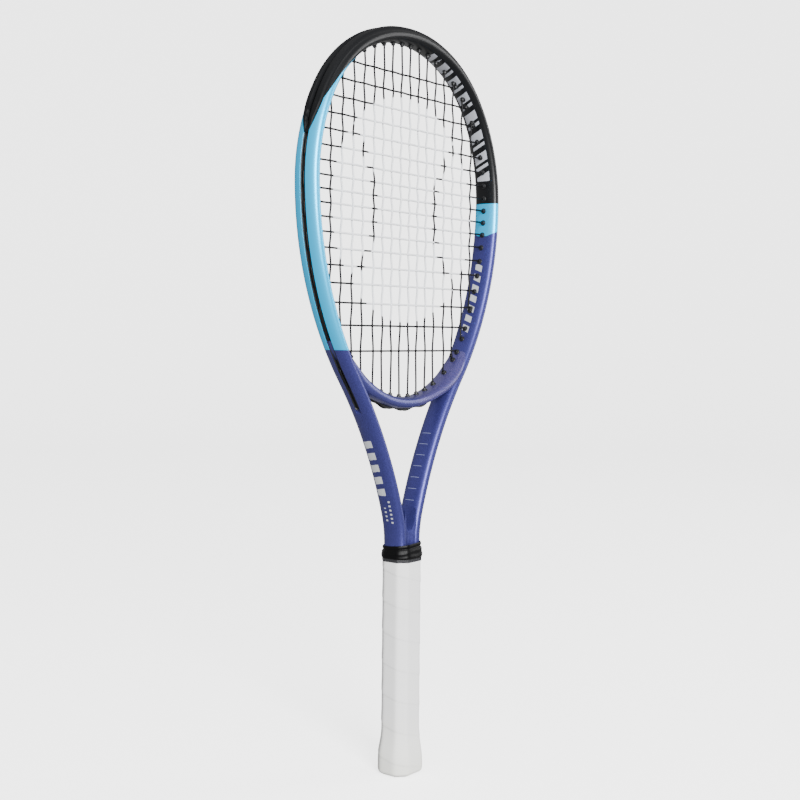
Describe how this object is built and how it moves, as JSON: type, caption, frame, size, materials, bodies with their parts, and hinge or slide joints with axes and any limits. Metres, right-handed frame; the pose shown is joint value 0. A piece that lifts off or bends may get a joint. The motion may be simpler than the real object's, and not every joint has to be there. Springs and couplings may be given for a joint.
{
  "type": "tennis racket",
  "caption": "Strung tennis racket: hollow hoop on two arms, woven strings, bumper and grommets, eight-sided wrapped grip with a sliding rubber collar.",
  "frame": {"origin": "centre of the butt's lowest face, under the handle's axis", "axes": "+Z along the handle to the tip of the head, X across the head, Y normal to the strings"},
  "size_m": [0.2778, 0.0368, 0.6852],
  "materials": {
    "lacquered_carbon": "satin lacquer",
    "guard_nylon": "satin",
    "grommet_nylon": "satin",
    "string": "smooth",
    "foam": "cellular",
    "pallet_foam": "moulded skin",
    "cap_nylon": "satin",
    "badge": "smooth",
    "staple_steel": "bright",
    "grip_leather": "matt, tacky",
    "tape": "matt",
    "collar_rubber": "glossy"
  },
  "bodies": {
    "racket": {"frame_tube": "lacquered_carbon", "throat_bridge": "lacquered_carbon", "bumper_guard": "guard_nylon", "grommet_strip_left": "grommet_nylon", "grommet_strip_right": "grommet_nylon", "throat_grommet_strip": "grommet_nylon", "main_string": "string", "cross_string": "string", "main_string_knots": "string", "cross_string_knots": "string", "tang_plug": "foam", "handle_pallet": "pallet_foam", "butt_cap": "cap_nylon", "butt_cap_badge": "badge", "butt_cap_staples": "staple_steel", "base_grip": "grip_leather", "finishing_tape": "tape"},
    "collar": {"rubber_collar": "collar_rubber"}
  },
  "joints": [
    {"name": "collar_slide", "type": "slide", "parent": "racket", "child": "collar", "axis": [0, 0, 1], "range_m": [0, 0.008]}
  ]
}
